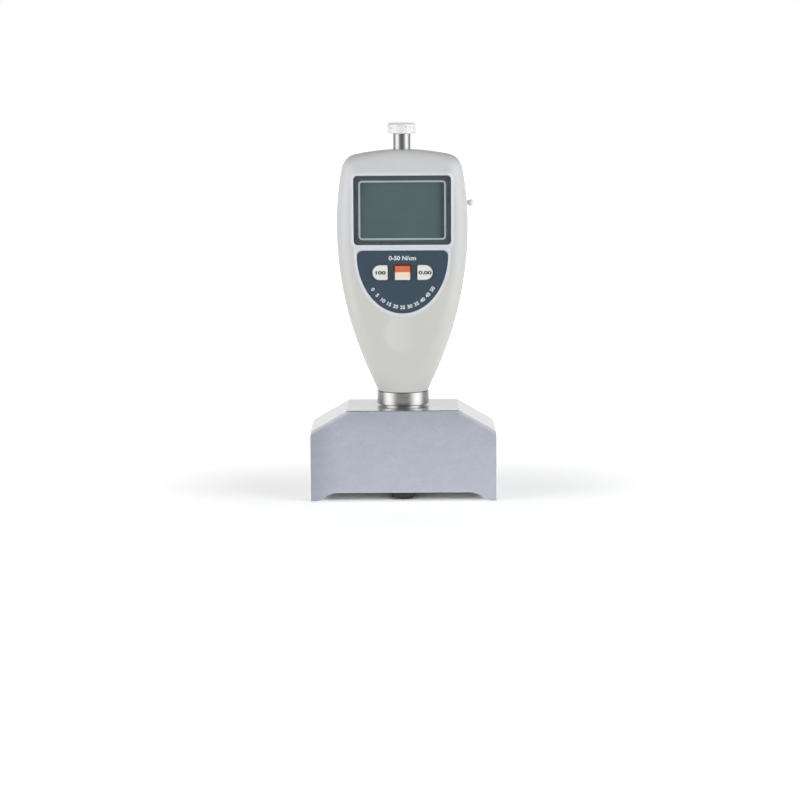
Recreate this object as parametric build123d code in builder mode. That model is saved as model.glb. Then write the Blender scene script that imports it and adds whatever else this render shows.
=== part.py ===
from build123d import *
from math import pi, sin
import os

# Hand-held meter for the tension of a stretched screen mesh. Millimetres, +Z up.
# The origin is on the resting plane under the middle of the base, and the
# display looks along -Y. The feet stand on z = 0.

# Driving dimensions of the base block
base_width = 93.5
base_depth = 44.0
base_height = 45.6
base_flat_width = 55.8
base_shoulder_drop = 10.8
base_shoulder_round = 3.0
base_face_chamfer = 0.3
arch_height = 4.2
arch_half_width = 34.2
foot_slope_run = 4.2
foot_slope_drop = 1.5
foot_bevel_run = 2.4
foot_bevel_drop = 1.9
foot_contact_width = 2.9

# Driving dimensions of the measuring foot and its shaft
bar_width = 11.4
bar_length = 34.0
bar_height = 9.0
bar_crown = 1.2
bar_corner = 1.5
bar_clearance = 0.5
pocket_corner = 2.0
probe_travel = 2.5
probe_overtravel = 1.0
shaft_radius = 2.5
shaft_socket_depth = 5.0
shaft_running_gap = 0.05
guide_pin_radius = 1.5
guide_pin_spacing = 22.0
guide_pin_length = 12.0
round_end_chamfer = 0.3
bush_radius = 4.0
bush_length = 8.0
spring_bore_radius = 5.6
spring_wire_radius = 0.45
spring_coil_radius = 3.9
spring_turns = 5
seat_radius = 4.8
seat_thickness = 2.0
travel_stop_gap = 0.1

# Driving dimensions of the turned neck collar
collar_radius = 13.1
collar_height = 7.9
collar_groove_depth = 1.8
collar_groove_height = 0.9
collar_foot_chamfer = 0.4
collar_top_chamfer = 0.4
spigot_radius = 10.0
spigot_length = 6.0
sleeve_radius = 8.0
sleeve_groove_depth = 1.0
sleeve_groove_start = 3.5
sleeve_groove_width = 2.0
sleeve_length = 26.0
coil_bore_radius = 6.0
coil_length = 16.0
coil_core_gap = 0.3
core_radius = 2.2
core_length = 12.0

# Driving dimensions of the moulded housing
neck_width = 25.3
housing_depth = 28.0
housing_height = 121.1
widest_share = 0.69
flank_power = 2.03
shoulder_draw = 4.6
edge_radius = 8.5
crown_radius = 110.0
crown_edge_radius = 8.2
side_wall = 2.0
face_wall = 2.5
neck_floor = 3.0
housing_sections = 11
seam_width = 0.5
seam_depth = 0.4
seat_gap = 0.05
dimple_radius = 10.3
dimple_depth = 0.5
rim_bevel = 0.35
dimple_height = 29.9

# Driving dimensions of the display
lens_width = 48.4
lens_border = 8.6
lens_height = 34.2
lens_corner = 2.0
lens_thickness = 1.2
lens_chamfer = 0.2
lens_set_back = 0.15
lens_gap = 0.1
lens_centre = 91.25
mask_thickness = 0.2
view_width = 41.7
view_height = 27.7
view_corner = 1.0
lcd_inset = 1.2
lcd_height = 32.6
lcd_thickness = 2.6
zebra_width = 2.0
zebra_margin = 2.4
zebra_edge_gap = 0.2
zebra_end_gap = 1.5
holder_rim = 1.2
holder_gap = 0.6

# Driving dimensions of the keypad
label_width = 45.4
label_top = 71.3
label_drop = 31.3
label_straight = 2.0
label_corner = 1.5
label_thickness = 0.35
label_recess = 0.6
label_gap = 0.1
key_centre = 60.4
key_side_width = 7.5
key_side_height = 7.4
key_side_offset = 11.2
key_power_width = 7.6
key_power_height = 7.0
key_power_step = 4.0
key_corner = 0.6
key_proud = 1.15
key_gap = 0.3
key_flange = 0.7
key_flange_thickness = 0.9
key_travel = 0.7
key_sink = 0.8
key_edge = 0.35
plunger_radius = 1.5
plunger_length = 1.7
plunger_gap = 0.15
plunger_floor = 0.4
key_flange_gap = 0.1
switch_size = 6.0
switch_corner = 0.4
switch_depth = 1.9
switch_well_floor = 0.3

# Driving dimensions of the circuit board
board_inset = 0.2
board_height = 72.0
board_thickness = 1.6
board_bottom = 38.2
board_to_lcd = 1.8
board_screw_radius = 1.0
board_screw_head = 1.9
board_screw_head_depth = 1.4
board_screw_reach = 3.0
board_boss_radius = 2.2
board_boss_inset = 2.4
board_boss_heights = (42.0, 71.0)
chip_depth = 2.2
main_chip_size = 14.0
main_chip_drop = 6.0
driver_chip_width = 5.0
driver_chip_height = 9.0
driver_chip_spread = 12.0
driver_chip_rise = 12.0
capacitor_radius = 4.0
capacitor_rise = 10.0

# Driving dimensions of the shell screws
shell_screw_radius = 1.25
shell_screw_head = 2.4
shell_screw_head_depth = 1.8
shell_screw_reach = 6.0
shell_screw_cross = 2.6
shell_screw_cross_slot = 0.6
shell_screw_cross_depth = 0.9
shell_boss_radius = 2.7
shell_boss_root = 0.5
shell_boss_skin = 1.5
shell_boss_upper = (20.0, 113.6)
shell_boss_lower = (12.5, 29.5)

# Driving dimensions of the battery bay
cell_radius = 5.25
cell_length = 44.5
cell_tip_radius = 1.9
cell_tip_length = 0.9
cell_rim_chamfer = 0.4
cell_pitch = 11.0
cell_count = 4
bay_side_gap = 0.55
bay_top = 109.0
contact_room = 2.75
bay_wall = 1.4
contact_thickness = 0.4
contact_width = 7.5
contact_half_height = 4.0
leaf_root = 0.8
leaf_bend = 1.2
leaf_half_nose = 1.5
cover_thickness = 2.0
cover_gap = 0.15
cover_overlap = 0.9
cover_lip = 0.9
cover_lip_thickness = 0.9
cover_below_bay = 2.8
grip_rib_count = 5
grip_rib_pitch = 2.2
grip_rib_length = 16.0
grip_rib_width = 1.0
grip_rib_depth = 0.4
grip_rise = 8.0

# Driving dimensions of the top stem, the thumb knob and the strap stud
stem_radius = 4.4
stem_length = 7.7
stem_flange_radius = 6.5
stem_flange_thickness = 2.0
stem_flange_depth = 3.0
stem_cup_radius = 9.5
stem_cup_floor = 1.5
stem_thread_radius = 3.0
stem_thread_length = 4.0
knob_radius = 7.1
knob_height = 5.2
knob_chamfer = 0.8
knob_lift = 0.1
knob_thread_gap = 0.05
knob_flutes = 40
knob_flute_depth = 0.15
knob_land = 1.2
stud_height = 94.0
stud_set_back = 3.2
stud_neck_radius = 1.2
stud_neck_length = 1.1
stud_head_radius = 1.6
stud_head_length = 2.4

# Places that follow from the stack and from the display's width
housing_width = lens_width + 2 * lens_border
lcd_width = lens_width - 2 * lcd_inset
board_width = lcd_width - 2 * board_inset
board_boss_spread = board_width / 2 - board_boss_inset
neck_z = base_height + collar_height
housing_top = neck_z + housing_height
widest_z = neck_z + widest_share * housing_height
half_depth = housing_depth / 2
inner_face = half_depth - face_wall
lens_z = neck_z + lens_centre
label_top_z = neck_z + label_top
key_z = neck_z + key_centre
bay_length = cell_length + 2 * contact_room
bay_z = neck_z + bay_top - bay_length
lens_front = half_depth - lens_set_back
lens_back = lens_front - lens_thickness
mask_back = lens_back - mask_thickness
lcd_front = inner_face - lens_gap
lcd_back = lcd_front - lcd_thickness
board_front = lcd_back - board_to_lcd
board_back = board_front - board_thickness
label_floor = half_depth - label_recess
pocket_top = bar_height + probe_overtravel
lower_bush_top = pocket_top + bush_length
seat_bottom = lower_bush_top + probe_travel + travel_stop_gap
seat_top = seat_bottom + seat_thickness
spigot_bottom = base_height - spigot_length
sleeve_top = neck_z + sleeve_length
coil_bottom = sleeve_top - coil_length
upper_bush_bottom = spigot_bottom
shaft_top = coil_bottom


def half_width(z):
    """Half the housing's width: it swells from the neck to the widest place, then draws in to the top."""
    if z < widest_z:
        share = (widest_z - z) / (widest_z - neck_z)
        return housing_width / 2 - (housing_width - neck_width) / 2 * share**flank_power
    share = (z - widest_z) / (housing_top - widest_z)
    return housing_width / 2 - shoulder_draw * share**2


def section_share(z):
    """How far a section has turned from the round neck into the flat head, from 0 to 1."""
    return sin(pi / 2 * min(1.0, 2.2 * (z - neck_z) / housing_height))


def housing_form(side_inset, face_inset, bottom_z, name):
    """The housing's outer form, or its hollow where the insets are the walls."""
    top_z = housing_top + crown_edge_radius
    with BuildPart() as form:
        for step in range(housing_sections):
            z = bottom_z + (top_z - bottom_z) * step / (housing_sections - 1)
            turned = section_share(z)
            depth = neck_width + (housing_depth - neck_width) * turned - 2 * face_inset
            width = 2 * half_width(z) - 2 * side_inset
            round_limit = min(width, depth) / 2 - 0.05
            round_here = neck_width / 2 + (edge_radius - neck_width / 2) * turned - side_inset
            with BuildSketch(Plane.XY.offset(z)):
                RectangleRounded(width, depth, min(round_here, round_limit))
        loft()
        crown_z = housing_top - side_inset
        with BuildSketch(Plane.XZ):
            with BuildLine():
                RadiusArc(
                    (-housing_width, crown_z - crown_drop),
                    (housing_width, crown_z - crown_drop),
                    crown_radius,
                )
                Polyline(
                    (housing_width, crown_z - crown_drop),
                    (housing_width, bottom_z),
                    (-housing_width, bottom_z),
                    (-housing_width, crown_z - crown_drop),
                )
            make_face()
        extrude(amount=housing_depth, both=True, mode=Mode.INTERSECT)
        crown = form.faces().sort_by(Axis.Z)[-1]
        fillet(crown.edges(), radius=crown_edge_radius - side_inset)
    form.part.label = name
    return form.part


crown_drop = crown_radius - (crown_radius**2 - housing_width**2) ** 0.5
housing = housing_form(0, 0, neck_z, "housing form")
hollow = housing_form(side_wall, face_wall, neck_z + neck_floor, "housing hollow")
seam_core = housing_form(seam_depth, seam_depth, neck_z, "seam core")
with BuildPart() as seam_ring:
    with BuildSketch(Plane.XY.offset(neck_z)):
        Rectangle(2 * housing_width, seam_width)
    extrude(amount=housing_height)
    add(seam_core, mode=Mode.SUBTRACT)

os.makedirs("parts", exist_ok=True)
exported = []


def keep(part, name):
    """Labels a finished piece and writes its STEP file."""
    part.label = name
    export_step(part, f"parts/{name}.step")
    exported.append(name)


# Base block, machined from aluminium: shoulders, two feet and a pocket for the measuring bar
half_base = base_width / 2
half_flat = base_flat_width / 2
shoulder_z = base_height - base_shoulder_drop
slope_end = arch_half_width + foot_slope_run
bevel_end = slope_end + foot_bevel_run
with BuildPart() as base_block:
    with BuildSketch(Plane.XZ):
        with BuildLine():
            Polyline(
                (0, base_height),
                (half_flat, base_height),
                (half_base, shoulder_z),
                (half_base, 0),
                (half_base - foot_contact_width, 0),
                (bevel_end, arch_height - foot_slope_drop - foot_bevel_drop),
                (slope_end, arch_height - foot_slope_drop),
                (arch_half_width, arch_height),
                (0, arch_height),
                (0, base_height),
            )
        make_face()
        mirror(about=Plane.YZ)
    extrude(amount=base_depth / 2, both=True)
    shoulder_edges = base_block.edges().filter_by(Axis.Y).filter_by_position(
        Axis.Z, shoulder_z - 0.1, shoulder_z + 0.1
    )
    fillet(shoulder_edges, radius=base_shoulder_round)
    face_edges = base_block.faces().filter_by(Axis.Y).edges()
    chamfer(face_edges.filter_by_position(Axis.Z, arch_height, base_height), length=base_face_chamfer)
    with BuildSketch(Plane.XY):
        RectangleRounded(bar_width + 2 * bar_clearance, bar_length + 2 * bar_clearance, pocket_corner)
    extrude(amount=pocket_top, mode=Mode.SUBTRACT)
    with BuildSketch(Plane.XY.offset(pocket_top)):
        Circle(bush_radius)
        with GridLocations(0, guide_pin_spacing, 1, 2):
            Circle(guide_pin_radius + shaft_running_gap)
    extrude(amount=bush_length, mode=Mode.SUBTRACT)
    with BuildSketch(Plane.XY.offset(lower_bush_top)):
        Circle(spring_bore_radius)
    extrude(amount=spigot_bottom - lower_bush_top, mode=Mode.SUBTRACT)
    with BuildSketch(Plane.XY.offset(spigot_bottom)):
        Circle(spigot_radius)
    extrude(amount=spigot_length, mode=Mode.SUBTRACT)
keep(base_block.part, "base_block")

# Measuring bar, pressed on the mesh between the two feet; its lower face is crowned
with BuildPart() as measuring_bar:
    with BuildSketch(Plane.XZ):
        with BuildLine():
            ThreePointArc((-bar_width / 2, bar_crown), (0, 0), (bar_width / 2, bar_crown))
            Polyline(
                (bar_width / 2, bar_crown),
                (bar_width / 2, bar_height),
                (-bar_width / 2, bar_height),
                (-bar_width / 2, bar_crown),
            )
        make_face()
    extrude(amount=bar_length / 2, both=True)
    fillet(measuring_bar.edges().filter_by(Axis.Z), radius=bar_corner)
    with BuildSketch(Plane.XY.offset(bar_height)):
        Circle(shaft_radius)
        with GridLocations(0, guide_pin_spacing, 1, 2):
            Circle(guide_pin_radius)
    extrude(amount=-shaft_socket_depth, mode=Mode.SUBTRACT)
keep(measuring_bar.part, "measuring_bar")

# Guide pins that keep the bar square to the feet
with BuildPart() as guide_pins:
    with BuildSketch(Plane.XY.offset(bar_height - shaft_socket_depth)):
        with GridLocations(0, guide_pin_spacing, 1, 2):
            Circle(guide_pin_radius)
    extrude(amount=guide_pin_length)
    chamfer(guide_pins.faces().filter_by(Axis.Z).edges(), length=round_end_chamfer)
keep(guide_pins.part, "guide_pins")

# Ground shaft from the bar up to the sensor
with BuildPart() as probe_shaft:
    with BuildSketch(Plane.XY.offset(bar_height - shaft_socket_depth)):
        Circle(shaft_radius)
    extrude(amount=shaft_top - (bar_height - shaft_socket_depth))
    chamfer(probe_shaft.faces().filter_by(Axis.Z).edges(), length=round_end_chamfer)
keep(probe_shaft.part, "probe_shaft")

# Ferrite core screwed on the shaft's upper end
with BuildPart() as sensor_core:
    with BuildSketch(Plane.XY.offset(shaft_top)):
        Circle(core_radius)
    extrude(amount=core_length)
    chamfer(sensor_core.faces().sort_by(Axis.Z)[-1].edges(), length=round_end_chamfer)
keep(sensor_core.part, "sensor_core")

# Plain bushes that guide the shaft, one in the block and one in the collar
bush_places = {"lower_bush": pocket_top, "upper_bush": upper_bush_bottom}
for bush_name, bush_z in bush_places.items():
    with BuildPart() as bush:
        with BuildSketch(Plane.XY.offset(bush_z)):
            Circle(bush_radius)
            Circle(shaft_radius + shaft_running_gap, mode=Mode.SUBTRACT)
        extrude(amount=bush_length)
    keep(bush.part, bush_name)

# Seat ring on the shaft: it carries the spring and stops the bar when the meter is lifted
with BuildPart() as spring_seat:
    with BuildSketch(Plane.XY.offset(seat_bottom)):
        Circle(seat_radius)
        Circle(shaft_radius, mode=Mode.SUBTRACT)
    extrude(amount=seat_thickness)
    seat_rims = spring_seat.edges().filter_by(GeomType.CIRCLE).group_by(SortBy.RADIUS)[-1]
    chamfer(seat_rims, length=round_end_chamfer)
keep(spring_seat.part, "spring_seat")

# Return spring between the seat ring and the collar's spigot
spring_space = spigot_bottom - seat_top
spring_height = spring_space - 2 * spring_wire_radius
with BuildPart() as return_spring:
    with BuildLine() as coil_line:
        Helix(
            pitch=spring_height / spring_turns,
            height=spring_height,
            radius=spring_coil_radius,
            center=(0, 0, seat_top + spring_wire_radius),
        )
    with BuildSketch(Plane(origin=coil_line.line @ 0, z_dir=coil_line.line % 0)):
        Circle(spring_wire_radius)
    sweep()
keep(return_spring.part, "return_spring")

# Neck collar, turned in one from steel: spigot in the block, visible ring, sleeve in the housing
groove_bottom = neck_z + sleeve_groove_start
groove_top = groove_bottom + sleeve_groove_width
groove_radius = sleeve_radius - sleeve_groove_depth
groove_rim_z = base_height + collar_groove_height
with BuildPart() as neck_collar:
    with BuildSketch(Plane.XZ):
        with BuildLine():
            Polyline(
                (bush_radius, spigot_bottom),
                (spigot_radius, spigot_bottom),
                (spigot_radius, base_height),
                (collar_radius - collar_groove_depth, base_height),
                (collar_radius - collar_groove_depth, groove_rim_z),
                (collar_radius - collar_foot_chamfer, groove_rim_z),
                (collar_radius, groove_rim_z + collar_foot_chamfer),
                (collar_radius, neck_z - collar_top_chamfer),
                (collar_radius - collar_top_chamfer, neck_z),
                (sleeve_radius, neck_z),
                (sleeve_radius, groove_bottom),
                (groove_radius, groove_bottom),
                (groove_radius, groove_top),
                (sleeve_radius, groove_top),
                (sleeve_radius, sleeve_top),
                (coil_bore_radius, sleeve_top),
                (coil_bore_radius, coil_bottom),
                (bush_radius, coil_bottom),
                (bush_radius, spigot_bottom),
            )
        make_face()
    revolve(axis=Axis.Z)
keep(neck_collar.part, "neck_collar")

# Sensor coil: a bobbin with its winding, potted as one
with BuildPart() as sensor_coil:
    with BuildSketch(Plane.XY.offset(coil_bottom)):
        Circle(coil_bore_radius)
        Circle(shaft_radius + coil_core_gap, mode=Mode.SUBTRACT)
    extrude(amount=coil_length)
keep(sensor_coil.part, "sensor_coil")

# Shell blank: the hollow housing with its seam groove, the collar's clamp rib and the stem's hole
flange_top_z = housing_top - stem_flange_depth
flange_bottom_z = flange_top_z - stem_flange_thickness
with BuildPart() as shell_blank:
    add(housing)
    add(hollow, mode=Mode.SUBTRACT)
    with BuildSketch(Plane.XY.offset(flange_bottom_z - stem_cup_floor)):
        Circle(stem_cup_radius)
    extrude(amount=stem_cup_floor + stem_flange_thickness + stem_flange_depth - side_wall)
    with BuildSketch(Plane.XY.offset(groove_bottom)):
        Circle(neck_width / 2 - side_wall / 2)
    extrude(amount=sleeve_groove_width)
    with BuildSketch(Plane.XY.offset(neck_z)):
        Circle(sleeve_radius + seat_gap)
    extrude(amount=sleeve_groove_start, mode=Mode.SUBTRACT)
    with BuildSketch(Plane.XY.offset(groove_bottom)):
        Circle(groove_radius + seat_gap)
    extrude(amount=sleeve_groove_width, mode=Mode.SUBTRACT)
    with BuildSketch(Plane.XY.offset(flange_top_z)):
        Circle(stem_radius + seat_gap)
    extrude(amount=housing_height, mode=Mode.SUBTRACT)
    with BuildSketch(Plane.XY.offset(flange_bottom_z)):
        Circle(stem_flange_radius + seat_gap)
    extrude(amount=stem_flange_thickness, mode=Mode.SUBTRACT)
    add(seam_ring.part, mode=Mode.SUBTRACT)
shell_blank_part = shell_blank.part


def label_outline(grow):
    """The keypad's outline on its plane: a flat top, short straight sides and half an ellipse below."""
    half = label_width / 2 + grow
    side_z = label_top_z - label_straight
    with BuildSketch() as outline:
        with Locations((0, side_z)):
            Ellipse(half, label_drop - label_straight + grow)
        with Locations((0, side_z)):
            Rectangle(2 * half, 2 * label_drop, align=(Align.CENTER, Align.MIN), mode=Mode.SUBTRACT)
        with Locations((0, side_z)):
            Rectangle(2 * half, label_straight + grow, align=(Align.CENTER, Align.MIN))
        fillet(outline.vertices().group_by(Axis.Y)[-1], radius=label_corner)
    return outline.sketch


def side_key_outline(side, grow):
    """A D-shaped key, flat towards the middle key and round on its outer side."""
    half_height = key_side_height / 2 + grow
    inner_x = key_side_offset - key_side_width / 2 - grow
    outer_x = key_side_offset + key_side_width / 2 + grow
    with BuildSketch() as outline:
        with BuildLine():
            round_x = outer_x - half_height
            Line((inner_x, key_z - half_height), (round_x, key_z - half_height))
            ThreePointArc((round_x, key_z - half_height), (outer_x, key_z), (round_x, key_z + half_height))
            Polyline(
                (round_x, key_z + half_height),
                (inner_x, key_z + half_height),
                (inner_x, key_z - half_height),
            )
        make_face()
        fillet(outline.vertices().group_by(Axis.X)[0], radius=key_corner)
    if side < 0:
        return mirror(outline.sketch, about=Plane.YZ)
    return outline.sketch


def power_key_outline(grow):
    """The square middle key."""
    with BuildSketch() as outline:
        with Locations((0, key_z + (key_power_height - key_side_height) / 2)):
            RectangleRounded(key_power_width + 2 * grow, key_power_height + 2 * grow, key_corner)
    return outline.sketch


def key_outline(key_name, grow):
    """The outline of one of the three keys."""
    if key_name == "key_power":
        return power_key_outline(grow)
    return side_key_outline(-1 if key_name == "key_left" else 1, grow)


key_names = ("key_left", "key_power", "key_right")
key_places = {"key_left": -key_side_offset, "key_power": 0, "key_right": key_side_offset}
shell_bosses = [
    (side * spread, neck_z + height)
    for spread, height in (shell_boss_upper, shell_boss_lower)
    for side in (-1, 1)
]
board_bosses = [
    (side * board_boss_spread, neck_z + height) for height in board_boss_heights for side in (-1, 1)
]

# Front shell: display window, keypad recess, key holes, thumb dimple and screw bosses
dimple_ball = (dimple_radius**2 + dimple_depth**2) / (2 * dimple_depth)
with BuildPart() as front_shell:
    add(shell_blank_part)
    split(bisect_by=Plane.XZ, keep=Keep.TOP)
    with BuildSketch(Plane.XZ):
        with Locations(*shell_bosses):
            Circle(shell_boss_radius)
    extrude(amount=inner_face + shell_boss_root)
    with BuildSketch(Plane.XZ.offset(board_front)):
        with Locations(*board_bosses):
            Circle(board_boss_radius)
    extrude(amount=inner_face + shell_boss_root - board_front)
    with BuildSketch(Plane.XZ):
        with Locations(*shell_bosses):
            Circle(shell_screw_radius)
    extrude(amount=inner_face - shell_boss_skin, mode=Mode.SUBTRACT)
    with BuildSketch(Plane.XZ.offset(board_front)):
        with Locations(*board_bosses):
            Circle(board_screw_radius)
    extrude(amount=inner_face - board_front, mode=Mode.SUBTRACT)
    with BuildSketch(Plane.XZ.offset(mask_back)):
        with Locations((0, lens_z)):
            RectangleRounded(lens_width + 2 * lens_gap, lens_height + 2 * lens_gap, lens_corner)
    extrude(amount=housing_depth, mode=Mode.SUBTRACT)
    with BuildSketch(Plane.XZ):
        with Locations((0, lens_z)):
            RectangleRounded(view_width, view_height, view_corner)
    extrude(amount=housing_depth, mode=Mode.SUBTRACT)
    with BuildSketch(Plane.XZ.offset(label_floor)):
        add(label_outline(label_gap))
    extrude(amount=housing_depth, mode=Mode.SUBTRACT)
    for rim_bottom, rim_top in (
        (lens_z - lens_height / 2, lens_z + lens_height / 2),
        (label_top_z - label_drop, label_top_z),
    ):
        rim_edges = (
            front_shell.edges()
            .filter_by_position(Axis.Y, -half_depth - rim_bevel, -half_depth + rim_bevel)
            .filter_by_position(Axis.Z, rim_bottom - rim_bevel, rim_top + rim_bevel)
            .filter_by_position(Axis.X, -lens_width / 2 - rim_bevel, lens_width / 2 + rim_bevel)
        )
        chamfer(rim_edges, length=rim_bevel)
    for key_name in key_names:
        with BuildSketch(Plane.XZ.offset(board_front)):
            add(key_outline(key_name, key_gap))
        extrude(amount=housing_depth, mode=Mode.SUBTRACT)
    with Locations((0, -half_depth - dimple_ball + dimple_depth, neck_z + dimple_height)):
        Sphere(dimple_ball, mode=Mode.SUBTRACT)
keep(front_shell.part, "front_shell")


def rear_slab(half_width_here, front_y, thickness, bottom_z):
    """A slab of the housing's rear, as thick as given behind the plane front_y, from bottom_z up."""
    with BuildPart() as slab:
        add(housing)
        with BuildSketch(Plane.XZ.offset(-front_y)):
            with Locations((0, bottom_z)):
                Rectangle(2 * half_width_here, housing_height, align=(Align.CENTER, Align.MIN))
        extrude(amount=-thickness, mode=Mode.INTERSECT)
    return slab.part


# Rear shell: battery bay with the cover's guide, screw bosses and the strap stud's seat
bay_half_width = (cell_count * cell_pitch) / 2 + bay_side_gap - (cell_pitch - 2 * cell_radius) / 2
bay_floor = half_depth - cover_thickness - 2 * cell_radius - bay_side_gap / 2
cover_inner = half_depth - cover_thickness
cover_half_width = bay_half_width + cover_overlap
guide_half_width = cover_half_width + cover_lip + bay_wall
cover_bottom_z = bay_z - cover_below_bay
bay_mid_z = bay_z + bay_length / 2
stud_z = neck_z + stud_height
guide_block = rear_slab(guide_half_width, inner_face - bay_wall, housing_depth, cover_bottom_z - bay_wall)
with BuildPart() as rear_shell:
    add(shell_blank_part)
    split(bisect_by=Plane.XZ, keep=Keep.BOTTOM)
    with BuildSketch(Plane.XZ):
        with Locations(*shell_bosses):
            Circle(shell_boss_radius)
    extrude(amount=-(inner_face + shell_boss_root))
    add(guide_block)
    with BuildSketch(Plane.XZ.offset(-bay_floor + bay_wall)):
        with Locations((0, bay_mid_z)):
            Rectangle(2 * (bay_half_width + bay_wall), bay_length + 2 * bay_wall)
    extrude(amount=-(inner_face - bay_floor + bay_wall))
    with BuildSketch(Plane.XZ.offset(-bay_floor)):
        with Locations((0, bay_mid_z)):
            Rectangle(2 * bay_half_width, bay_length)
    extrude(amount=-housing_depth, mode=Mode.SUBTRACT)
    with BuildSketch(Plane.XZ.offset(-(cover_inner - cover_gap))):
        with Locations((0, cover_bottom_z - cover_gap)):
            Rectangle(
                2 * (cover_half_width + cover_gap), housing_height, align=(Align.CENTER, Align.MIN)
            )
    extrude(amount=-housing_depth, mode=Mode.SUBTRACT)
    with BuildSketch(Plane.XZ.offset(-(cover_inner - cover_gap))):
        with Locations((0, cover_bottom_z - cover_gap)):
            Rectangle(
                2 * (cover_half_width + cover_lip + cover_gap),
                housing_height,
                align=(Align.CENTER, Align.MIN),
            )
    extrude(amount=-(cover_lip_thickness + 2 * cover_gap), mode=Mode.SUBTRACT)
    with BuildSketch(Plane.XZ):
        with Locations(*shell_bosses):
            Circle(shell_screw_radius + seat_gap)
    extrude(amount=-housing_depth, mode=Mode.SUBTRACT)
    with BuildSketch(Plane.XZ.offset(-(cover_inner - cover_gap - shell_screw_head_depth))):
        with Locations(*shell_bosses):
            Circle(shell_screw_head + seat_gap)
    extrude(amount=-housing_depth, mode=Mode.SUBTRACT)
    with BuildSketch(Plane.YZ.offset(half_width(stud_z) - side_wall)):
        with Locations((stud_set_back, stud_z)):
            Circle(stud_neck_radius)
    extrude(amount=housing_width, mode=Mode.SUBTRACT)
keep(rear_shell.part, "rear_shell")

# Battery cover, cut from the same form as the shell: it slides off over the top edge
cover_plate = rear_slab(cover_half_width, cover_inner, housing_depth, cover_bottom_z)
cover_lips = rear_slab(cover_half_width + cover_lip, cover_inner, cover_lip_thickness, cover_bottom_z)
with BuildPart() as battery_cover:
    add(cover_plate)
    add(cover_lips)
    with BuildSketch(Plane.XZ.offset(-half_depth)):
        with Locations((0, cover_bottom_z + grip_rise)):
            with GridLocations(0, grip_rib_pitch, 1, grip_rib_count):
                SlotOverall(grip_rib_length, grip_rib_width)
    extrude(amount=grip_rib_depth, mode=Mode.SUBTRACT)
keep(battery_cover.part, "battery_cover")

# Battery cells, four in a row, with the button end up on every second one
for place in range(cell_count):
    cell_x = (place - (cell_count - 1) / 2) * cell_pitch
    cell_y = bay_floor + cell_radius + bay_side_gap / 4
    tip_up = place % 2 == 0
    can_bottom = bay_mid_z - cell_length / 2 + (0 if tip_up else cell_tip_length)
    with BuildPart() as battery_cell:
        with BuildSketch(Plane.XY.offset(can_bottom)):
            with Locations((cell_x, cell_y)):
                Circle(cell_radius)
        extrude(amount=cell_length - cell_tip_length)
        chamfer(battery_cell.faces().filter_by(Axis.Z).edges(), length=cell_rim_chamfer)
        tip_z = can_bottom + cell_length - cell_tip_length if tip_up else can_bottom - cell_tip_length
        with BuildSketch(Plane.XY.offset(tip_z)):
            with Locations((cell_x, cell_y)):
                Circle(cell_tip_radius)
        extrude(amount=cell_tip_length)
    keep(battery_cell.part, f"battery_cell_{place + 1}")

# Battery contacts: a flat plate at one end of each cell and a bent leaf at the other
contact_y = bay_floor + cell_radius
with BuildPart() as battery_contacts:
    for end in (-1, 1):
        wall_z = bay_mid_z + end * bay_length / 2
        with BuildSketch(Plane.YZ.offset(-(cell_count - 1) / 2 * cell_pitch - contact_width / 2)):
            with BuildLine():
                Polyline(
                    (contact_y - contact_half_height, wall_z),
                    (contact_y + contact_half_height, wall_z),
                    (contact_y + contact_half_height, wall_z - end * contact_thickness),
                    (contact_y + leaf_half_nose, wall_z - end * contact_room),
                    (contact_y - leaf_half_nose, wall_z - end * contact_room),
                    (contact_y - leaf_half_nose, wall_z - end * (contact_room - contact_thickness)),
                    (contact_y + leaf_bend, wall_z - end * (contact_room - contact_thickness)),
                    (contact_y + contact_half_height - leaf_root, wall_z - end * contact_thickness),
                    (contact_y - contact_half_height, wall_z - end * contact_thickness),
                    (contact_y - contact_half_height, wall_z),
                )
            make_face()
        leaf = extrude(amount=contact_width)
        for place in range(1, cell_count):
            add(leaf.moved(Location((place * cell_pitch, 0, 0))))
keep(battery_contacts.part, "battery_contacts")

# Shell screws, driven from behind into the front shell's bosses
with BuildPart() as shell_screws:
    with BuildSketch(Plane.XZ.offset(-(cover_inner - cover_gap))):
        with Locations(*shell_bosses):
            Circle(shell_screw_head)
    extrude(amount=shell_screw_head_depth)
    with BuildSketch(Plane.XZ.offset(-(cover_inner - cover_gap) + shell_screw_head_depth)):
        with Locations(*shell_bosses):
            Circle(shell_screw_radius)
    extrude(amount=cover_inner - shell_screw_head_depth + shell_screw_reach)
    with BuildSketch(Plane.XZ.offset(-(cover_inner - cover_gap))):
        with Locations(*shell_bosses):
            Rectangle(shell_screw_cross, shell_screw_cross_slot)
            Rectangle(shell_screw_cross_slot, shell_screw_cross)
    extrude(amount=shell_screw_cross_depth, mode=Mode.SUBTRACT)
keep(shell_screws.part, "shell_screws")

# Display lens: a clear plate let into the front shell
with BuildPart() as display_lens:
    with BuildSketch(Plane.XZ.offset(lens_back)):
        with Locations((0, lens_z)):
            RectangleRounded(lens_width, lens_height, lens_corner)
    extrude(amount=lens_thickness)
    chamfer(display_lens.faces().sort_by(Axis.Y)[0].edges(), length=lens_chamfer)
keep(display_lens.part, "display_lens")

# Display mask: the dark frame sheet behind the lens
with BuildPart() as display_mask:
    with BuildSketch(Plane.XZ.offset(mask_back)):
        with Locations((0, lens_z)):
            RectangleRounded(lens_width, lens_height, lens_corner)
            RectangleRounded(view_width, view_height, view_corner, mode=Mode.SUBTRACT)
    extrude(amount=mask_thickness)
keep(display_mask.part, "display_mask")

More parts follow.
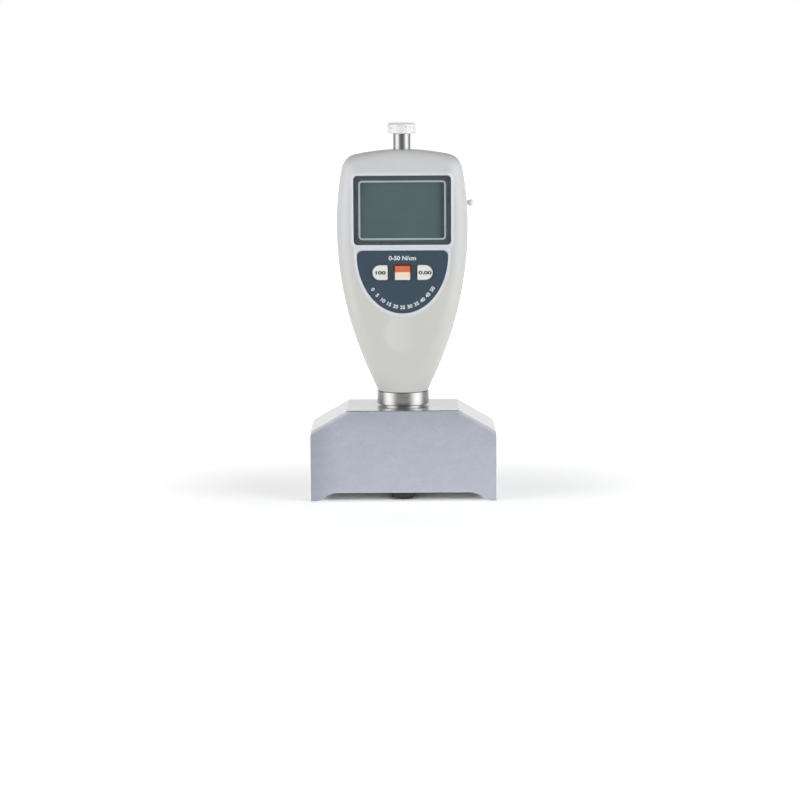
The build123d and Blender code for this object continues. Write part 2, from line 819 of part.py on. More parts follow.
# Liquid crystal cell: two glass plates bonded together, the lower one longer for its contacts
with BuildPart() as lcd_module:
    with BuildSketch(Plane.XZ.offset(lcd_back)):
        with Locations((0, lens_z)):
            Rectangle(lcd_width, lcd_height)
    extrude(amount=lcd_thickness / 2)
    with BuildSketch(Plane.XZ.offset(lcd_back + lcd_thickness / 2)):
        with Locations((0, lens_z)):
            Rectangle(lcd_width, lcd_height - zebra_margin)
    extrude(amount=lcd_thickness / 2)
keep(lcd_module.part, "lcd_module")

# Rubber connector strips between the cell's edges and the board
strip_z = lcd_height / 2 - zebra_width / 2 - zebra_edge_gap
with BuildPart() as zebra_strips:
    with BuildSketch(Plane.XZ.offset(board_front)):
        with Locations((0, lens_z - strip_z), (0, lens_z + strip_z)):
            Rectangle(lcd_width - 2 * zebra_end_gap, zebra_width)
    extrude(amount=board_to_lcd)
keep(zebra_strips.part, "zebra_strips")

# Display holder: the frame that keeps the cell off the board, between the two strips
holder_width = lcd_width - 2 * zebra_end_gap
holder_height = 2 * strip_z - zebra_width - 2 * holder_gap
with BuildPart() as lcd_holder:
    with BuildSketch(Plane.XZ.offset(board_front)):
        with Locations((0, lens_z)):
            Rectangle(holder_width, holder_height)
            Rectangle(holder_width - 4 * holder_rim, holder_height - 2 * holder_rim, mode=Mode.SUBTRACT)
    extrude(amount=board_to_lcd)
keep(lcd_holder.part, "lcd_holder")

# Circuit board on four bosses behind the display and the keys
board_z = neck_z + board_bottom
with BuildPart() as circuit_board:
    with BuildSketch(Plane.XZ.offset(board_back)):
        with Locations((0, board_z)):
            Rectangle(board_width, board_height, align=(Align.CENTER, Align.MIN))
        with Locations(*board_bosses):
            Circle(board_screw_radius + seat_gap, mode=Mode.SUBTRACT)
    extrude(amount=board_thickness)
keep(circuit_board.part, "circuit_board")

# Chips and capacitors on the back of the board
with BuildPart() as board_chips:
    with BuildSketch(Plane.XZ.offset(board_back)):
        with Locations((0, lens_z - main_chip_drop)):
            Rectangle(main_chip_size, main_chip_size)
        with Locations((0, board_z + driver_chip_rise)):
            with GridLocations(2 * driver_chip_spread, 0, 2, 1):
                Rectangle(driver_chip_width, driver_chip_height)
        with Locations((0, board_z + capacitor_rise)):
            Circle(capacitor_radius)
    extrude(amount=-chip_depth)
keep(board_chips.part, "board_chips")

# Board screws
with BuildPart() as board_screws:
    with BuildSketch(Plane.XZ.offset(board_back)):
        with Locations(*board_bosses):
            Circle(board_screw_head)
    extrude(amount=-board_screw_head_depth)
    with BuildSketch(Plane.XZ.offset(board_back)):
        with Locations(*board_bosses):
            Circle(board_screw_radius)
    extrude(amount=board_thickness + board_screw_reach)
keep(board_screws.part, "board_screws")

# Tact switches under the keys, each with a well for its plunger
plunger_back = board_front + plunger_floor + key_travel
plunger_front = plunger_back + plunger_length
switch_front = board_front + switch_depth
switch_places = [(x, key_z) for x in key_places.values()]
with BuildPart() as tact_switches:
    with BuildSketch(Plane.XZ.offset(board_front)):
        with Locations(*switch_places):
            RectangleRounded(switch_size, switch_size, switch_corner)
    extrude(amount=switch_depth)
    with BuildSketch(Plane.XZ.offset(board_front + switch_well_floor)):
        with Locations(*switch_places):
            Circle(plunger_radius + plunger_gap)
    extrude(amount=switch_front, mode=Mode.SUBTRACT)
keep(tact_switches.part, "tact_switches")

# Keys and the switch plungers under them
flange_front = inner_face - key_flange_gap
flange_back = flange_front - key_flange_thickness
key_front = label_floor + label_thickness + key_proud
for key_name, key_x in key_places.items():
    with BuildPart() as key_cap:
        with BuildSketch(Plane.XZ.offset(flange_front)):
            add(key_outline(key_name, 0))
        extrude(amount=key_front - flange_front)
        fillet(key_cap.faces().sort_by(Axis.Y)[0].edges(), radius=key_edge)
        with BuildSketch(Plane.XZ.offset(flange_back)):
            add(key_outline(key_name, key_flange))
        extrude(amount=key_flange_thickness)
        with BuildSketch(Plane.XZ.offset(plunger_front)):
            with Locations((key_x, key_z)):
                Circle(plunger_radius)
        extrude(amount=flange_back - plunger_front)
        if key_name == "key_power":
            with BuildSketch(Plane.XZ.offset(key_front - key_sink)):
                with Locations((0, key_z - key_side_height / 2 + key_power_step)):
                    Rectangle(
                        2 * key_power_width, key_power_height, align=(Align.CENTER, Align.MIN)
                    )
            extrude(amount=2 * key_sink, mode=Mode.SUBTRACT)
    keep(key_cap.part, key_name)
    with BuildPart() as plunger:
        with BuildSketch(Plane.XZ.offset(plunger_back)):
            with Locations((key_x, key_z)):
                Circle(plunger_radius)
        extrude(amount=plunger_length)
    keep(plunger.part, key_name.replace("key", "plunger"))

# Keypad label, a printed sheet in its recess with a hole for each key
with BuildPart() as keypad_label:
    with BuildSketch(Plane.XZ.offset(label_floor)):
        add(label_outline(0))
        for key_name in key_names:
            add(key_outline(key_name, key_gap), mode=Mode.SUBTRACT)
    extrude(amount=label_thickness)
keep(keypad_label.part, "keypad_label")

# Top stem, turned steel, trapped between the two shells by its flange
stem_top = housing_top + stem_length
with BuildPart() as top_stem:
    with BuildSketch(Plane.XY.offset(flange_bottom_z)):
        Circle(stem_flange_radius)
    extrude(amount=stem_flange_thickness)
    with BuildSketch(Plane.XY.offset(flange_top_z)):
        Circle(stem_radius)
    extrude(amount=stem_top - flange_top_z)
    with BuildSketch(Plane.XY.offset(stem_top)):
        Circle(stem_thread_radius)
    extrude(amount=stem_thread_length)
keep(top_stem.part, "top_stem")

# Thumb knob with a fluted band between two plain lands, screwed on the stem's thread
with BuildPart() as thumb_knob:
    with BuildSketch(Plane.XY.offset(stem_top + knob_lift)):
        Circle(knob_radius)
    extrude(amount=knob_height)
    chamfer(thumb_knob.faces().sort_by(Axis.Z)[-1].edges(), length=knob_chamfer)
    chamfer(thumb_knob.faces().sort_by(Axis.Z)[0].edges(), length=knob_chamfer / 2)
    with BuildSketch(Plane.XY.offset(stem_top + knob_lift + knob_land)):
        with PolarLocations(knob_radius + knob_flute_depth, knob_flutes):
            Circle(2 * knob_flute_depth)
    extrude(amount=knob_height - 2 * knob_land, mode=Mode.SUBTRACT)
    with BuildSketch(Plane.XY.offset(stem_top + knob_lift)):
        Circle(stem_thread_radius + knob_thread_gap)
    extrude(amount=stem_thread_length, mode=Mode.SUBTRACT)
keep(thumb_knob.part, "thumb_knob")

# Strap stud: a small turned post with a domed head on the rear shell's side
stud_seat_x = half_width(stud_z)
with BuildPart() as strap_stud:
    with BuildSketch(Plane.XY.offset(stud_z)):
        with BuildLine():
            Polyline(
                (stud_seat_x - side_wall, stud_set_back),
                (stud_seat_x - side_wall, stud_set_back + stud_neck_radius),
                (stud_seat_x + stud_neck_length, stud_set_back + stud_neck_radius),
                (stud_seat_x + stud_neck_length, stud_set_back + stud_head_radius),
                (stud_seat_x + stud_neck_length + stud_head_length / 2, stud_set_back + stud_head_radius),
            )
            stud_tip = stud_seat_x + stud_neck_length + stud_head_length
            EllipticalCenterArc(
                (stud_seat_x + stud_neck_length + stud_head_length / 2, stud_set_back),
                stud_head_length / 2,
                stud_head_radius,
                start_angle=0,
                arc_size=90,
            )
            Line((stud_tip, stud_set_back), (stud_seat_x - side_wall, stud_set_back))
        make_face()
    revolve(axis=Axis((0, stud_set_back, stud_z), (1, 0, 0)))
keep(strap_stud.part, "strap_stud")

print(len(exported), "pieces written")
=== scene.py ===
import math

import bpy
import numpy as np
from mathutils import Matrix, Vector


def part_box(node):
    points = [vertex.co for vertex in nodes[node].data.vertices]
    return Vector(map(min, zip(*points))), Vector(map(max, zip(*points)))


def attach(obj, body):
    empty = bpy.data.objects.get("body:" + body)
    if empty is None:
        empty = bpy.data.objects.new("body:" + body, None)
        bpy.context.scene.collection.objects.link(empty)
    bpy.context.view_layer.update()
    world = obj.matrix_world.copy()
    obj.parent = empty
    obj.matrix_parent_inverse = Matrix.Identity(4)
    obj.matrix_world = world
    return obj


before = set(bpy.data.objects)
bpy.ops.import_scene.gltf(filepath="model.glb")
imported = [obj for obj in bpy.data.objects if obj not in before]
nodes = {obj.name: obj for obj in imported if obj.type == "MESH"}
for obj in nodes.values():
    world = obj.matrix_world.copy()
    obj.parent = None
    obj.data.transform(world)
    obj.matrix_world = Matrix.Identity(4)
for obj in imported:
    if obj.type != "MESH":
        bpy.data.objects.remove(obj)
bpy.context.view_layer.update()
scene = bpy.context.scene
scene.view_settings.view_transform = "Standard"

# Camera
# A long lens in front of the meter and a little above it, looking slightly down.
picture_width = 800
focal_pixels = 2506
horizon_row = 56.35
axis_column = 403.15
camera_distance = 1.258
camera_height = 0.2205
camera_roll = math.radians(-0.3)
sensor_width = 36.0

camera_data = bpy.data.cameras.new("camera")
camera_data.sensor_width = sensor_width
camera_data.lens = sensor_width * focal_pixels / picture_width
camera = bpy.data.objects.new("camera", camera_data)
pitch = math.atan((picture_width / 2 - horizon_row) / focal_pixels)
camera_x = -(axis_column - picture_width / 2) * camera_distance / focal_pixels
camera.location = (camera_x, -camera_distance, camera_height)
camera.rotation_mode = "ZYX"
camera.rotation_euler = (math.pi / 2 - pitch, 0, camera_roll)
scene.collection.objects.link(camera)
scene.camera = camera

# Studio
# A white table before a white backdrop, two tall soft boxes in front at either side, and a dim
# room behind the camera, which steel shows as a dark stripe between two bright ones. The boxes'
# soft glow is part of the room's light, and two lamps that no mirror shows fill in from there.


def add_node(tree, kind, **settings):
    """A node of that kind, with its own settings, such as operation, set by name."""
    node = tree.nodes.new("ShaderNode" + kind)
    for name, value in settings.items():
        setattr(node, name, value)
    return node


def feed(tree, socket, value):
    """Gives an input socket its value: another node's output, a number, a colour or a vector."""
    if isinstance(value, bpy.types.NodeSocket):
        tree.links.new(value, socket)
    else:
        socket.default_value = value


def calc(tree, operation, *values):
    """One step of arithmetic on outputs and numbers, as its result's output."""
    node = add_node(tree, "Math", operation=operation)
    for socket, value in zip(node.inputs, values):
        feed(tree, socket, value)
    return node.outputs[0]


def split_axes(tree, coordinates):
    """The outputs X, Y and Z of a kind of texture coordinates, such as Object or Normal."""
    node = add_node(tree, "SeparateXYZ")
    tree.links.new(add_node(tree, "TexCoord").outputs[coordinates], node.inputs[0])
    return node.outputs


def ramp(tree, value, low, high):
    """0 where the value is at low and 1 where it is at high, with a soft passage between."""
    node = add_node(tree, "MapRange", interpolation_type="SMOOTHSTEP")
    feed(tree, node.inputs["Value"], value)
    node.inputs["From Min"].default_value = low
    node.inputs["From Max"].default_value = high
    return node.outputs["Result"]


def blend(tree, share, first, second, data_type):
    """What is first where share is 0 and second where it is 1, for one type of data."""
    node = add_node(tree, "Mix", data_type=data_type)
    feed(tree, node.inputs["Factor"], share)
    feed(tree, node.inputs["A"], first)
    feed(tree, node.inputs["B"], second)
    return node.outputs["Result"]


def blend_colour(tree, share, first, second):
    """The first colour where share is 0 and the second where it is 1."""
    return blend(tree, share, first, second, "RGBA")


def blend_value(tree, share, first, second):
    """The first number where share is 0 and the second where it is 1."""
    return blend(tree, share, first, second, "FLOAT")


def grey(level):
    """A neutral colour of that linear brightness."""
    return (level, level, level, 1)


backdrop_level = 1.0
room_side_level = 0.45
room_front_level = 0.23
ceiling_level = 0.08
glow_left = (2.30, 2.30, 2.30, 1)
glow_right = (2.38, 2.42, 2.45, 1)

# Where one part of the room passes into the next. The first four are bearings in degrees, from 0
# behind the camera to 180 at the backdrop, and the last two are how steeply a ray rises.
side_edge = (90, 110)
backdrop_edge = (127, 148)
glow_front_edge = (22, 62)
glow_back_edge = (108, 72)
glow_top_edge = (0.72, 0.40)
ceiling_edge = (0.18, 0.50)

world = bpy.data.worlds.new("studio")
world.use_nodes = True
scene.world = world
tree = world.node_tree
background = tree.nodes["Background"]
direction = split_axes(tree, "Generated")
sideways = calc(tree, "ABSOLUTE", direction["X"])
forwards = calc(tree, "MULTIPLY", direction["Y"], -1.0)
bearing = calc(tree, "MULTIPLY", calc(tree, "ARCTAN2", sideways, forwards), math.degrees(1))
walls = blend_colour(
    tree, ramp(tree, bearing, *side_edge), grey(room_front_level), grey(room_side_level)
)
walls = blend_colour(tree, ramp(tree, bearing, *backdrop_edge), walls, grey(backdrop_level))
on_ceiling = ramp(tree, direction["Z"], *ceiling_edge)
room = blend_colour(tree, on_ceiling, walls, grey(ceiling_level))
past_front_edge = ramp(tree, bearing, *glow_front_edge)
before_back_edge = ramp(tree, bearing, *glow_back_edge)
glow = calc(tree, "MULTIPLY", past_front_edge, before_back_edge)
glow = calc(tree, "MULTIPLY", glow, ramp(tree, direction["Z"], *glow_top_edge))
on_right = calc(tree, "GREATER_THAN", direction["X"], 0.0)
room = blend_colour(tree, glow, room, blend_colour(tree, on_right, glow_left, glow_right))
light_path = add_node(tree, "LightPath")
clear_view = calc(
    tree, "MAXIMUM", light_path.outputs["Is Camera Ray"], light_path.outputs["Is Transmission Ray"]
)
feed(tree, background.inputs["Color"], blend_colour(tree, clear_view, room, grey(1)))

box_distance = 1.1
box_width = 1.6
box_height = 1.7
box_centre_height = 0.0
box_bearing = math.radians(63)
box_spread = math.radians(100)
boxes = (
    (-1, "soft_box_left", 7.0, (1.0, 1.0, 1.0)),
    (1, "soft_box_right", 8.2, (0.965, 0.985, 1.0)),
)

for side, box_name, box_power, box_colour in boxes:
    lamp_data = bpy.data.lights.new(box_name, "AREA")
    lamp_data.shape = "RECTANGLE"
    lamp_data.size = box_width
    lamp_data.size_y = box_height
    lamp_data.spread = box_spread
    lamp_data.energy = box_power
    lamp_data.color = box_colour
    lamp = bpy.data.objects.new(box_name, lamp_data)
    lamp.location = (
        side * box_distance * math.sin(box_bearing),
        -box_distance * math.cos(box_bearing),
        box_centre_height,
    )
    lamp.rotation_euler = (math.pi / 2, 0, side * box_bearing)
    lamp.visible_camera = False
    lamp.visible_glossy = False
    scene.collection.objects.link(lamp)

# The table glows as the backdrop does, less near the base so that the base's shadow shows, and not
# at all in a box about the base's footprint, a painted shadow under the base. Beyond the table's
# edge a mirror shows the room instead.
floor_half = 6.0
floor_grey = 0.86
floor_roughness = 0.9
floor_glow_painted_shadow = 0.0
floor_glow_near = 0.5
floor_glow_far = 1.0
floor_clear_start = 0.06
floor_clear_end = 0.30
shade_half_width = 0.036
shade_half_depth = 0.014
shade_reach = 0.014
table_radius = 0.25

floor_mesh = bpy.data.meshes.new("floor")
floor_corners = np.array([(-1, -1, 0), (1, -1, 0), (1, 1, 0), (-1, 1, 0)]) * floor_half
floor_mesh.from_pydata(floor_corners.tolist(), [], [(0, 1, 2, 3)])
floor = bpy.data.objects.new("floor", floor_mesh)
scene.collection.objects.link(floor)
floor_finish = bpy.data.materials.new("floor")
floor_finish.use_nodes = True
floor_mesh.materials.append(floor_finish)
tree = floor_finish.node_tree
shader = tree.nodes["Principled BSDF"]
shader.inputs["Base Color"].default_value = grey(floor_grey)
shader.inputs["Roughness"].default_value = floor_roughness
shader.inputs["Specular IOR Level"].default_value = 0.0
shader.inputs["Emission Color"].default_value = grey(1)
distance = add_node(tree, "VectorMath", operation="LENGTH")
tree.links.new(add_node(tree, "TexCoord").outputs["Object"], distance.inputs[0])
clear = ramp(tree, distance.outputs["Value"], floor_clear_start, floor_clear_end)
glow = blend_value(tree, clear, floor_glow_near, floor_glow_far)
place = split_axes(tree, "Object")
# Painted shadow: the glow goes in a soft-edged box about the base's footprint.
past_side = calc(tree, "SUBTRACT", calc(tree, "ABSOLUTE", place["X"]), shade_half_width)
past_front = calc(tree, "SUBTRACT", calc(tree, "ABSOLUTE", place["Y"]), shade_half_depth)
past_base = ramp(tree, calc(tree, "MAXIMUM", past_side, past_front), 0.0, shade_reach)
glow = blend_value(tree, past_base, floor_glow_painted_shadow, glow)
light_path = add_node(tree, "LightPath")
seen = calc(
    tree, "MAXIMUM", light_path.outputs["Is Camera Ray"], light_path.outputs["Is Glossy Ray"]
)
seen = calc(tree, "MAXIMUM", seen, light_path.outputs["Is Transmission Ray"])
feed(tree, shader.inputs["Emission Strength"], calc(tree, "MULTIPLY", glow, seen))
past_table = calc(tree, "GREATER_THAN", distance.outputs["Value"], table_radius)
mirrored = calc(tree, "MULTIPLY", past_table, light_path.outputs["Is Glossy Ray"])
either = add_node(tree, "MixShader")
feed(tree, either.inputs[0], mirrored)
tree.links.new(shader.outputs[0], either.inputs[1])
tree.links.new(add_node(tree, "BsdfTransparent").outputs[0], either.inputs[2])
tree.links.new(either.outputs[0], tree.nodes["Material Output"].inputs["Surface"])

# Base block
# Sawn and milled from aluminium bar. Its front and back are blasted to an even fine grain, lighter
# in a band under the slopes, with painted shade darker towards the left edge and the top. Its top
# and slopes keep a bright milled skin and its sides a duller one.


def paint(red, green, blue):
    """A colour as a screen shows it, from 0 to 255, as the linear colour that a shader takes.

    The screen's curve is a straight line at its dark end and a power of 2.4 above that.
    """
    share = np.array([red, green, blue]) / 255
    linear = np.where(share <= 0.04045, share / 12.92, ((share + 0.055) / 1.055) ** 2.4)
    return (*linear.tolist(), 1)


def effect_group(name, takes, gives):
    """An empty shader node group with named inputs, which have default values, and outputs."""
    group = bpy.data.node_groups.new(name, "ShaderNodeTree")
    kinds = {float: "NodeSocketFloat", tuple: "NodeSocketColor", list: "NodeSocketVector"}
    for socket_name, value in takes.items():
        socket = group.interface.new_socket(
            socket_name, in_out="INPUT", socket_type=kinds[type(value)]
        )
        socket.default_value = value
    for socket_name, kind in gives.items():
        group.interface.new_socket(socket_name, in_out="OUTPUT", socket_type=kinds[kind])
    return group, group.nodes.new("NodeGroupInput"), group.nodes.new("NodeGroupOutput")


# Grain: noise in the piece's own coordinates, stretched as the tool or the mould left it. It gives
# a colour and a roughness that vary about their means, and a height for the fine relief.
noise_detail = 3.0
noise_fineness = 0.6
noise_mean = 0.5
noise_gain = 4.0

grain_group, takes, gives = effect_group(
    "grain",
    {
        "Colour": grey(0.5),
        "Shade": 0.1,
        "Roughness": 0.5,
        "Spread": 0.1,
        "Marks per metre": [1.0, 1.0, 1.0],
    },
    {"Colour": tuple, "Roughness": float, "Height": float},
)
place = add_node(grain_group, "VectorMath", operation="MULTIPLY")
grain_group.links.new(add_node(grain_group, "TexCoord").outputs["Object"], place.inputs[0])
grain_group.links.new(takes.outputs["Marks per metre"], place.inputs[1])
noise = add_node(grain_group, "TexNoise")
noise.inputs["Scale"].default_value = 1.0
noise.inputs["Detail"].default_value = noise_detail
noise.inputs["Roughness"].default_value = noise_fineness
grain_group.links.new(place.outputs[0], noise.inputs["Vector"])
swing = calc(grain_group, "SUBTRACT", noise.outputs["Fac"], noise_mean)
swing = calc(grain_group, "MULTIPLY", swing, noise_gain)
lighter = calc(grain_group, "MULTIPLY", swing, takes.outputs["Shade"])
lighter = calc(grain_group, "ADD", lighter, 1.0)
scaled = add_node(grain_group, "VectorMath", operation="SCALE")
grain_group.links.new(takes.outputs["Colour"], scaled.inputs[0])
grain_group.links.new(lighter, scaled.inputs["Scale"])
rougher = calc(grain_group, "MULTIPLY", swing, takes.outputs["Spread"])
rougher = calc(grain_group, "ADD", rougher, takes.outputs["Roughness"])
grain_group.links.new(scaled.outputs[0], gives.inputs["Colour"])
grain_group.links.new(rougher, gives.inputs["Roughness"])
grain_group.links.new(noise.outputs["Fac"], gives.inputs["Height"])


def new_finish(name, metallic=0.0):
    """A material with a Principled shader, its node tree and that shader."""
    finish = bpy.data.materials.new(name)
    finish.use_nodes = True
    shader = finish.node_tree.nodes["Principled BSDF"]
    shader.inputs["Metallic"].default_value = metallic
    return finish, finish.node_tree, shader


def grain(tree, colour, shade, roughness, spread, marks):
    """Places the grain group in a material and gives its colour, roughness and height.

    Shade and spread are how far the colour and the roughness vary, and marks is how many grains
    lie in a metre along x, y and z.
    """
    node = add_node(tree, "Group")
    node.node_tree = grain_group
    feed(tree, node.inputs["Colour"], colour)
    node.inputs["Shade"].default_value = shade
    node.inputs["Roughness"].default_value = roughness
    node.inputs["Spread"].default_value = spread
    node.inputs["Marks per metre"].default_value = marks
    return node.outputs["Colour"], node.outputs["Roughness"], node.outputs["Height"]


def relief(tree, shader, height, depth):
    """Raises the surface by height, from 0 to 1, times depth in metres."""
    bump = add_node(tree, "Bump")
    bump.inputs["Distance"].default_value = depth
    feed(tree, bump.inputs["Height"], height)
    tree.links.new(bump.outputs["Normal"], shader.inputs["Normal"])


def dress(finish, *names):
    """Gives CAD nodes their finish."""
    for name in names:
        for material_slot in nodes[name].material_slots:
            material_slot.material = finish


blasted_colour = paint(208, 212, 225)
painted_shade_colour = paint(188, 192, 204)
milled_colour = paint(251, 251, 253)
side_colour = paint(196, 197, 201)
slope_band_colour = paint(234, 235, 239)
bevel_colour = paint(214, 214, 216)
bevel_metallic = 0.2
slope_start_x = 0.0279
slope_end_z = 0.0348
slope_band_reach = 0.0022
left_shade_edge = (-0.0300, -0.0475)
top_shade_edge = (0.034, 0.044)
top_shade_share = 0.3
milled_relief_share = 0.15
blasted_relief = 0.00005

# How squarely a face looks along an axis: where a finish begins and where it is whole.
blasted_tilt_y = (0.90, 0.97)
side_tilt_x = (0.80, 0.95)
bevel_tilt_x = (0.15, 0.25)
bevel_tilt_y = (0.40, 0.50)
bevel_tilt_z = (0.30, 0.40)

base_finish, tree, shader = new_finish("blasted and milled aluminium", metallic=1.0)
facing = split_axes(tree, "Normal")
facing_x = calc(tree, "ABSOLUTE", facing["X"])
facing_y = calc(tree, "ABSOLUTE", facing["Y"])
blasted = ramp(tree, facing_y, *blasted_tilt_y)
place = split_axes(tree, "Object")
# Painted shade: the front and back are darker towards the left edge and, less, towards the top.
left_painted_shade = ramp(tree, place["X"], *left_shade_edge)
top_painted_shade = calc(tree, "MULTIPLY", ramp(tree, place["Z"], *top_shade_edge), top_shade_share)
painted_shade = calc(tree, "MAXIMUM", left_painted_shade, top_painted_shade)
front_colour = blend_colour(tree, painted_shade, blasted_colour, painted_shade_colour)

# The distance under a slope's plane: how far down a point is, less how far out, each turned by
# the slope's angle.
base_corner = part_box("base_block")[1]
slope_turn = math.atan2(base_corner.z - slope_end_z, base_corner.x - slope_start_x)
out = calc(tree, "SUBTRACT", calc(tree, "ABSOLUTE", place["X"]), slope_start_x)
down = calc(tree, "SUBTRACT", base_corner.z, place["Z"])
under_slope = calc(
    tree,
    "SUBTRACT",
    calc(tree, "MULTIPLY", down, math.cos(slope_turn)),
    calc(tree, "MULTIPLY", out, math.sin(slope_turn)),
)
on_slope_band = ramp(tree, under_slope, slope_band_reach, 0.0)
front_colour = blend_colour(tree, on_slope_band, front_colour, slope_band_colour)
mottled_colour = grain(
    tree, front_colour, shade=0.04, roughness=0.50, spread=0.10, marks=(160, 160, 300)
)[0]
rough_skin = grain(
    tree, mottled_colour, shade=0.07, roughness=0.50, spread=0.10, marks=(800, 800, 1200)
)
on_side = ramp(tree, facing_x, *side_tilt_x)
bright_colour = blend_colour(tree, on_side, milled_colour, side_colour)
on_bevel = calc(
    tree, "MULTIPLY", ramp(tree, facing_y, *bevel_tilt_y), ramp(tree, facing_x, *bevel_tilt_x)
)
on_bevel = calc(tree, "MULTIPLY", on_bevel, ramp(tree, facing["Z"], *bevel_tilt_z))
bright_colour = blend_colour(tree, on_bevel, bright_colour, bevel_colour)
milled_skin = grain(
    tree, bright_colour, shade=0.02, roughness=0.30, spread=0.05, marks=(120, 2600, 120)
)
feed(tree, shader.inputs["Metallic"], blend_value(tree, on_bevel, 1.0, bevel_metallic))
feed(tree, shader.inputs["Base Color"], blend_colour(tree, blasted, milled_skin[0], rough_skin[0]))
feed(tree, shader.inputs["Roughness"], blend_value(tree, blasted, milled_skin[1], rough_skin[1]))
soft_marks = calc(tree, "MULTIPLY", milled_skin[2], milled_relief_share)
relief(tree, shader, blend_value(tree, blasted, soft_marks, rough_skin[2]), blasted_relief)
dress(base_finish, "base_block")

# Measuring bar, shaft and guide pins
# The bar is hardened and blacked steel with a ground crown that presses on the mesh. The shaft and
# the two pins are pressed into it and ride in the block, with the seat ring on the shaft.


def lay_grain(tree, shader, colour, shade, roughness, spread, marks, depth=None):
    """Feeds a shader's colour and roughness from a grain, and its relief where there is a depth."""
    grain_colour, grain_roughness, height = grain(tree, colour, shade, roughness, spread, marks)
    feed(tree, shader.inputs["Base Color"], grain_colour)
    feed(tree, shader.inputs["Roughness"], grain_roughness)
    if depth is not None:
        relief(tree, shader, height, depth)


def grained_finish(name, colour, metallic=0.0, **grain_settings):
    """A whole material from one grain, with the settings that lay_grain takes."""
    finish, tree, shader = new_finish(name, metallic)
    lay_grain(tree, shader, colour, **grain_settings)
    return finish


bar_finish = grained_finish(
    "blacked steel", paint(70, 72, 76), metallic=1.0,
    shade=0.06, roughness=0.34, spread=0.06, marks=(300, 2400, 300), depth=0.000008,
)
dress(bar_finish, "measuring_bar", "spring_seat")
ground_finish = grained_finish(
    "ground steel", paint(205, 206, 208), metallic=1.0,
    shade=0.03, roughness=0.16, spread=0.04, marks=(60, 60, 5200), depth=0.000004,
)
dress(ground_finish, "guide_pins", "probe_shaft")

# Bushes, spring and sensor
# Sintered bronze bushes guide the shaft, a wound spring returns it, and a ferrite core on its end
# moves in a potted coil inside the collar's sleeve.
bronze_finish = grained_finish(
    "sintered bronze", paint(176, 140, 88), metallic=1.0,
    shade=0.12, roughness=0.42, spread=0.10, marks=(2600, 2600, 2600), depth=0.00001,
)
dress(bronze_finish, "lower_bush", "upper_bush")
spring_finish = grained_finish(
    "drawn spring wire", paint(150, 151, 154), metallic=1.0,
    shade=0.05, roughness=0.30, spread=0.06, marks=(900, 900, 900), depth=0.000004,
)
dress(spring_finish, "return_spring")
ferrite_finish = grained_finish(
    "ferrite", paint(58, 58, 61),
    shade=0.08, roughness=0.62, spread=0.08, marks=(1800, 1800, 1800), depth=0.00001,
)
dress(ferrite_finish, "sensor_core")
coil_finish = grained_finish(
    "potted winding", paint(142, 84, 48),
    shade=0.10, roughness=0.38, spread=0.08, marks=(40, 40, 3200), depth=0.00002,
)
dress(coil_finish, "sensor_coil")

# Neck collar
# Turned from stainless bar and left with the fine rings of the tool, then brushed. The undercut
# at its foot lets it seat flat on the block.
collar_finish = grained_finish(
    "turned steel", paint(184, 182, 181), metallic=1.0,
    shade=0.03, roughness=0.25, spread=0.05, marks=(30, 30, 5600), depth=0.000006,
)
dress(collar_finish, "neck_collar")

# Housing
# Two shells moulded in light grey ABS with a fine spark-eroded texture, and the battery cover,
# moulded in the same material, that slides in the rear shell. The rims of the front's recesses
# carry a painted highlight, and the left side of the thumb's dimple a painted light.


def span(tree, across, up):
    """The straight distance over a step across and a step up."""
    squares = calc(tree, "ADD", calc(tree, "POWER", across, 2.0), calc(tree, "POWER", up, 2.0))
    return calc(tree, "SQRT", squares)


def outside_frame(tree, centre, width, height, corner):
    """How far a point lies outside a frame on the front, in metres, and below nought inside it.

    It is the distance to a rectangle with rounded corners about the frame's centre: the distance
    beyond the corner's centre, along x and z together, less the corner's radius.
    """
    place = split_axes(tree, "Object")
    across = calc(tree, "ABSOLUTE", calc(tree, "SUBTRACT", place["X"], centre[0]))
    up = calc(tree, "ABSOLUTE", calc(tree, "SUBTRACT", place["Z"], centre[1]))
    across = calc(tree, "SUBTRACT", across, width / 2 - corner)
    up = calc(tree, "SUBTRACT", up, height / 2 - corner)
    beyond = span(tree, calc(tree, "MAXIMUM", across, 0.0), calc(tree, "MAXIMUM", up, 0.0))
    inside = calc(tree, "MINIMUM", calc(tree, "MAXIMUM", across, up), 0.0)
    return calc(tree, "SUBTRACT", calc(tree, "ADD", beyond, inside), corner)


warm_grey = paint(210, 209, 204)
cool_grey = paint(206, 206, 207)
cool_edge = (0.095, 0.135)
rim_painted_highlight = paint(227, 232, 239)
rim_highlight_reach = 0.0022
recess_corner = 0.0013
front_side = -0.008
dimple_lit_grey = paint(218, 217, 213)
thumb_height = 0.0834
thumb_radius = 0.0103
thumb_edge = (thumb_radius * 1.06, thumb_radius * 0.75)
thumb_lit_edge = (thumb_radius, -thumb_radius * 0.7)

housing_finish, tree, shader = new_finish("satin grey plastic")
place = split_axes(tree, "Object")
housing_colour = blend_colour(tree, ramp(tree, place["Z"], *cool_edge), warm_grey, cool_grey)
window_low, window_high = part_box("display_lens")
window_distance = outside_frame(
    tree,
    ((window_low.x + window_high.x) / 2, (window_low.z + window_high.z) / 2),
    window_high.x - window_low.x,
    window_high.z - window_low.z,
    recess_corner,
)

